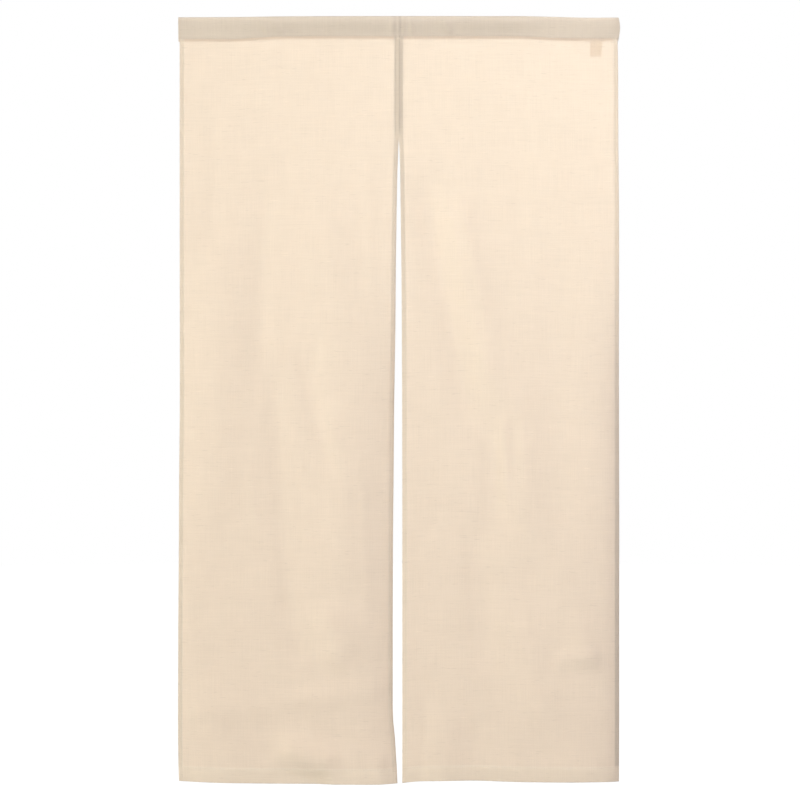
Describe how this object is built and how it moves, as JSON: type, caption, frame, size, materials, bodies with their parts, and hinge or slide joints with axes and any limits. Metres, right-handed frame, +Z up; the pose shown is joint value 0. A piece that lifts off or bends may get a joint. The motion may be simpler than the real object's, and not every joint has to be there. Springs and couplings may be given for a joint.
{
  "type": "noren curtain",
  "caption": "Plain cream linen-look noren doorway curtain: panels joined at the top and slit below, under an open-ended rod pocket.",
  "frame": {"origin": "middle of the top edge of the rod pocket, on the plane of the stitch line, where a rod holds the curtain up", "axes": "+Z up, +X to the right seen from the front, +Y to the back, away from the viewer"},
  "size_m": [0.8595, 0.0289, 1.4906],
  "materials": {
    "linen": "matt, slubby, slightly sheer plain weave",
    "folded_linen": "matt, two opaque layers of the same plain weave",
    "label_tape": "smooth matt woven tape, blank"
  },
  "bodies": {
    "root": {"panel_left": "linen", "panel_right": "linen", "heading_left": "folded_linen", "heading_right": "folded_linen", "care_label": "label_tape"}
  },
  "joints": []
}
